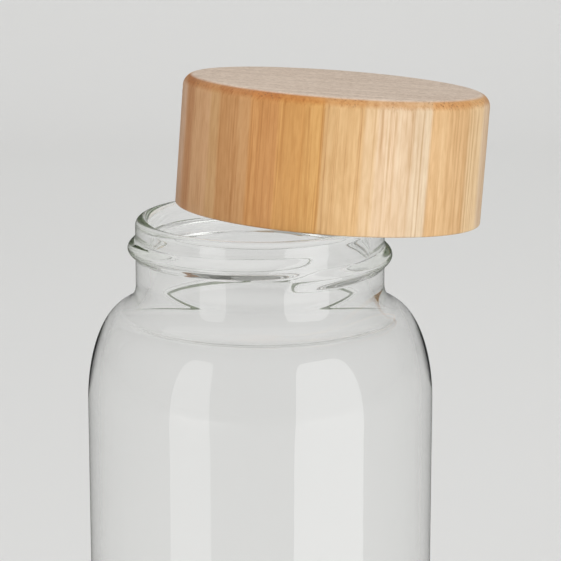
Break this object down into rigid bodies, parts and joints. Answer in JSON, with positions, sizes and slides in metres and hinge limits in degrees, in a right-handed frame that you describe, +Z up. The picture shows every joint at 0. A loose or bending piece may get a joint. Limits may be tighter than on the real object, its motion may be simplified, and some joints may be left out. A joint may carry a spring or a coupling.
{
  "type": "water bottle",
  "caption": "Clear glass wide-mouth water bottle with a rounded shoulder, screw neck and turned bamboo cap lying tipped on the mouth, for carrying and pouring drinks.",
  "frame": {"origin": "centre of the glass foot, in the plane the bottle stands on", "axes": "+Z up along the axis of the glass, +X to the side the loose cap is shifted to, +Y to the back"},
  "size_m": [0.0933, 0.0897, 0.2418],
  "materials": {
    "clear_glass": "clear, smooth, fire-polished",
    "bamboo": "turned laminated bamboo, oiled satin",
    "insert_plastic": "natural moulded polypropylene",
    "plug_plastic": "natural moulded polypropylene",
    "silicone": "translucent food-grade silicone, matte"
  },
  "bodies": {
    "bottle": {"glass_bottle": "clear_glass"},
    "seal": {"seal_ring": "silicone"},
    "cap": {"cap_shell": "bamboo", "threaded_insert": "insert_plastic", "inner_plug": "plug_plastic"}
  },
  "joints": [
    {"name": "cap_lift", "type": "slide", "parent": "bottle", "child": "seal", "axis": [0, 0, 1], "range_m": [0, 0.1]},
    {"name": "cap_turn", "type": "hinge", "parent": "seal", "child": "cap", "pos_m": [0.0157, 0.0125, 0.2085], "axis": [0.0714, 0.0576, 0.9958], "continuous": true}
  ]
}
